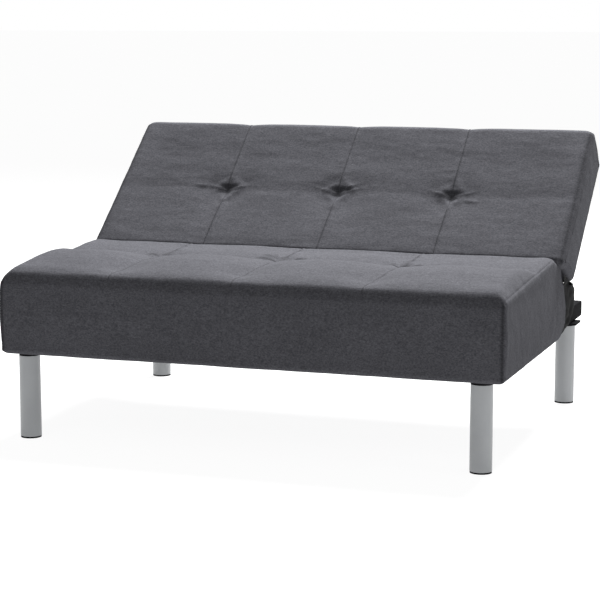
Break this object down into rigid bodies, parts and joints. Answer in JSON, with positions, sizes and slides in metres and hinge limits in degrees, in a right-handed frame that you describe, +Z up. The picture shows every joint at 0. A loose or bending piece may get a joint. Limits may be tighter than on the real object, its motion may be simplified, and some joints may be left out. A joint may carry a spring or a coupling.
{
  "type": "futon sofa bed",
  "caption": "Armless two-seat sofa whose tufted back reclines on click-clack hinges until it lies level with the seat as a bed.",
  "frame": {"origin": "on the floor, at the middle of the sofa's bounding box with the back in its lounge position", "axes": "+X along the width, to the right of a person facing the sofa's front; +Y to the rear, -Y is the front; +Z up"},
  "size_m": [1.228, 0.9889, 0.6945],
  "materials": {
    "microsuede": "matte",
    "black_cloth": "matte",
    "foam": "matte",
    "grey_steel": "satin",
    "black_steel": "satin",
    "bare_steel": "satin",
    "black_plastic": "matte",
    "rubber": "matte"
  },
  "bodies": {
    "base": {"side_rail_left": "black_steel", "side_rail_right": "black_steel", "front_cross_tube": "black_steel", "middle_cross_tube": "black_steel", "rear_cross_tube": "black_steel", "rail_end_caps": "black_plastic", "leg_front_left": "grey_steel", "leg_front_right": "grey_steel", "leg_rear_left": "grey_steel", "leg_rear_right": "grey_steel", "leg_collars": "black_plastic", "foot_glides": "black_plastic", "leg_plates": "black_steel", "leg_studs": "bare_steel", "seat_springs": "bare_steel", "seat_spring_clips": "bare_steel", "seat_foam": "foam", "seat_cover": "microsuede", "seat_dust_cover": "black_cloth", "hinge_seat_plate_left": "bare_steel", "hinge_seat_plate_right": "bare_steel", "hinge_pivot_rivets": "bare_steel", "hinge_base_bolts": "bare_steel", "rest_buffers": "rubber", "hinge_gusset": "black_cloth"},
    "back": {"back_springs": "bare_steel", "back_spring_clips": "bare_steel", "hinge_back_plate_left": "bare_steel", "hinge_back_plate_right": "bare_steel", "pawl_pins": "bare_steel", "pawl_springs": "bare_steel", "hinge_back_bolts": "bare_steel", "back_side_tube_left": "black_steel", "back_side_tube_right": "black_steel", "back_lower_tube": "black_steel", "back_upper_tube": "black_steel", "back_foam": "foam", "back_cover": "microsuede", "back_rear_panel": "microsuede"},
    "pawl_left": {"pawl_left": "bare_steel"},
    "pawl_right": {"pawl_right": "bare_steel"}
  },
  "joints": [
    {"name": "back_recline", "type": "hinge", "parent": "base", "child": "back", "pos_m": [0, 0.064, 0.32], "axis": [-1, 0, 0], "range_deg": [-31, 39], "deforming": ["hinge_gusset"]},
    {"name": "pawl_left_lift", "type": "hinge", "parent": "back", "child": "pawl_left", "pos_m": [-0.526, 0.08371, 0.37135], "axis": [1, 0, 0], "range_deg": [0, 8], "stiffness_Nm_per_rad": 0.2, "springref_deg": -11.46},
    {"name": "pawl_right_lift", "type": "hinge", "parent": "back", "child": "pawl_right", "pos_m": [0.526, 0.08371, 0.37135], "axis": [1, 0, 0], "range_deg": [0, 8], "stiffness_Nm_per_rad": 0.2, "springref_deg": -11.46}
  ]
}
